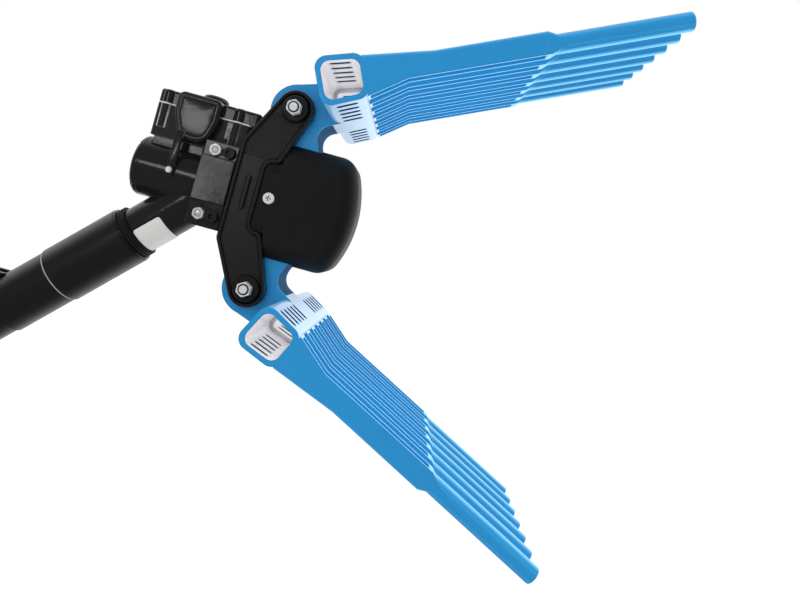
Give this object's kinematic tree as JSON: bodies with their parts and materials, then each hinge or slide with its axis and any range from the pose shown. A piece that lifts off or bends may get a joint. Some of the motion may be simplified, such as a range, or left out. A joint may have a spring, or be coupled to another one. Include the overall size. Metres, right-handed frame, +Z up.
{
  "type": "pneumatic olive harvester",
  "caption": "Pneumatic olive harvester head: hinged long-toothed combs that open and close, driven by an air cylinder, on an angled pole with hand lever and air inlet.",
  "frame": {"origin": "centre of the pole's rear end", "axes": "+X along the cylinder head towards the comb tips, +Y along the comb pivots, +Z up, square to the head"},
  "size_m": [0.5592, 0.163, 0.454],
  "materials": {
    "blue_plastic": "moulded, glossy",
    "black_bracket": "satin black",
    "matt_black": "matt black",
    "gloss_black": "glossy black",
    "black_screw": "black oxide",
    "black_sleeve": "satin black",
    "steel": "bright zinc",
    "light_ring": "pale",
    "label_silver": "satin silver, bare",
    "rubber": "matt",
    "bronze": "turned",
    "aluminium": "turned"
  },
  "bodies": {
    "head_and_pole": {"clamp_plate_far": "gloss_black", "clamp_plate_near": "gloss_black", "cover_screw": "steel", "cylinder_housing": "gloss_black", "exhaust_cover": "gloss_black", "exhaust_silencer": "matt_black", "flange_bolts": "steel", "flange_nuts": "steel", "flange_screws": "black_screw", "grip_tube": "black_sleeve", "guard": "matt_black", "guard_screws": "steel", "handle_body": "black_sleeve", "inlet_plug": "aluminium", "inlet_seal": "rubber", "label_plate": "label_silver", "lever_pin": "steel", "neck_seal": "rubber", "pivot_bolts": "steel", "pivot_nuts": "steel", "pivot_sleeves": "steel", "pivot_washers": "black_screw", "plunger_seal": "rubber", "plunger_spring": "steel", "rear_cap": "gloss_black", "rear_cap_screws": "steel", "rear_cap_seal": "rubber", "retaining_ring": "steel", "rod_guide": "bronze", "rod_seal": "rubber", "side_plate_far": "black_bracket", "side_plate_near": "black_bracket", "spool_plugs": "aluminium", "union_nut": "black_sleeve", "union_washer": "light_ring", "valve_body": "gloss_black", "valve_cartridge": "aluminium", "valve_gasket": "rubber", "valve_lid": "gloss_black", "valve_lid_screws": "steel"},
    "drive": {"piston": "aluminium", "piston_seals": "rubber", "piston_nut": "steel", "piston_rod": "steel", "crosshead": "steel", "rod_pin": "steel", "drive_pins": "steel", "pin_clips": "steel"},
    "upper_comb_body": {"upper_comb": "blue_plastic", "upper_bushes": "bronze"},
    "lower_comb_body": {"lower_comb": "blue_plastic", "lower_bushes": "bronze"},
    "spool": {"valve_spool": "aluminium", "spool_seals": "rubber"},
    "lever": {"hand_lever": "black_sleeve"},
    "plunger_body": {"plunger": "steel"}
  },
  "joints": [
    {"name": "piston_slide", "type": "slide", "parent": "head_and_pole", "child": "drive", "axis": [1, 0, 0], "range_m": [-0.031, 0]},
    {"name": "upper_comb_hinge", "type": "hinge", "parent": "head_and_pole", "child": "upper_comb_body", "pos_m": [0.29449, 0, 0.31549], "axis": [0, 1, 0], "range_deg": [0, 33.01]},
    {"name": "lower_comb_hinge", "type": "hinge", "parent": "head_and_pole", "child": "lower_comb_body", "pos_m": [0.29449, 0, 0.17949], "axis": [0, 1, 0], "range_deg": [-33.01, 0]},
    {"name": "spool_slide", "type": "slide", "parent": "head_and_pole", "child": "spool", "axis": [1, 0, 0], "range_m": [0, 0.006]},
    {"name": "lever_hinge", "type": "hinge", "parent": "head_and_pole", "child": "lever", "pos_m": [0.09327, 0, 0.13584], "axis": [0, 1, 0], "range_deg": [-6, 0], "stiffness_Nm_per_rad": 0.6, "springref_deg": 11.46},
    {"name": "plunger_slide", "type": "slide", "parent": "head_and_pole", "child": "plunger_body", "axis": [-0.7071, 0, 0.7071], "range_m": [-0.0024, 0], "deforming": ["plunger_spring"]}
  ],
  "couplings": [
    {"joint": "upper_comb_hinge", "follows": "piston_slide", "rad_per_m": -18.579},
    {"joint": "lower_comb_hinge", "follows": "piston_slide", "rad_per_m": 18.579},
    {"joint": "plunger_slide", "follows": "lever_hinge", "m_per_rad": 0.022}
  ]
}
